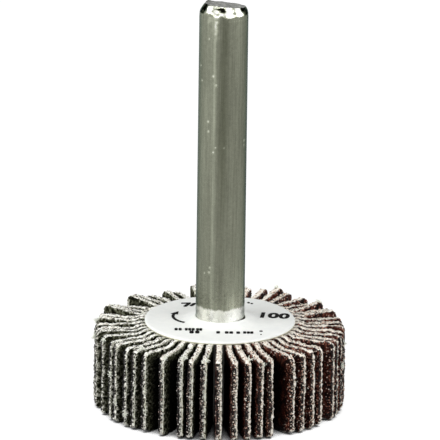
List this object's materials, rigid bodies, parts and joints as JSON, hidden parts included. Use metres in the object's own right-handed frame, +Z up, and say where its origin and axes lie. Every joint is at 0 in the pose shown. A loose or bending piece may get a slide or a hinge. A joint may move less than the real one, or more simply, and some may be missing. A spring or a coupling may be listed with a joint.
{
  "type": "mounted flap wheel",
  "caption": "Mounted flap wheel: strips of abrasive cloth stand on edge around a resin core, with a paper disc on top and a plain steel shank for a collet.",
  "frame": {"origin": "centre of the wheel's lower face, on the surface that the wheel stands on", "axes": "+Z up along the shank, -Y towards the front of the picture, +X to its right"},
  "size_m": [0.0306, 0.0306, 0.0514],
  "materials": {
    "shank_steel": "satin",
    "epoxy_resin": "satin",
    "printed_paper": "satin",
    "abrasive_cloth": "matte"
  },
  "bodies": {
    "root": {"spindle": "shank_steel", "resin_core": "epoxy_resin", "label": "printed_paper", "flap_01": "abrasive_cloth", "flap_02": "abrasive_cloth", "flap_03": "abrasive_cloth", "flap_04": "abrasive_cloth", "flap_05": "abrasive_cloth", "flap_06": "abrasive_cloth", "flap_07": "abrasive_cloth", "flap_08": "abrasive_cloth", "flap_09": "abrasive_cloth", "flap_10": "abrasive_cloth", "flap_11": "abrasive_cloth", "flap_12": "abrasive_cloth", "flap_13": "abrasive_cloth", "flap_14": "abrasive_cloth", "flap_15": "abrasive_cloth", "flap_16": "abrasive_cloth", "flap_17": "abrasive_cloth", "flap_18": "abrasive_cloth", "flap_19": "abrasive_cloth", "flap_20": "abrasive_cloth", "flap_21": "abrasive_cloth", "flap_22": "abrasive_cloth", "flap_23": "abrasive_cloth", "flap_24": "abrasive_cloth", "flap_25": "abrasive_cloth", "flap_26": "abrasive_cloth", "flap_27": "abrasive_cloth", "flap_28": "abrasive_cloth", "flap_29": "abrasive_cloth", "flap_30": "abrasive_cloth", "flap_31": "abrasive_cloth", "flap_32": "abrasive_cloth", "flap_33": "abrasive_cloth", "flap_34": "abrasive_cloth", "flap_35": "abrasive_cloth", "flap_36": "abrasive_cloth", "flap_37": "abrasive_cloth", "flap_38": "abrasive_cloth", "flap_39": "abrasive_cloth", "flap_40": "abrasive_cloth", "flap_41": "abrasive_cloth", "flap_42": "abrasive_cloth", "flap_43": "abrasive_cloth", "flap_44": "abrasive_cloth", "flap_45": "abrasive_cloth", "flap_46": "abrasive_cloth", "flap_47": "abrasive_cloth", "flap_48": "abrasive_cloth", "flap_49": "abrasive_cloth", "flap_50": "abrasive_cloth", "flap_51": "abrasive_cloth", "flap_52": "abrasive_cloth"}
  },
  "joints": []
}
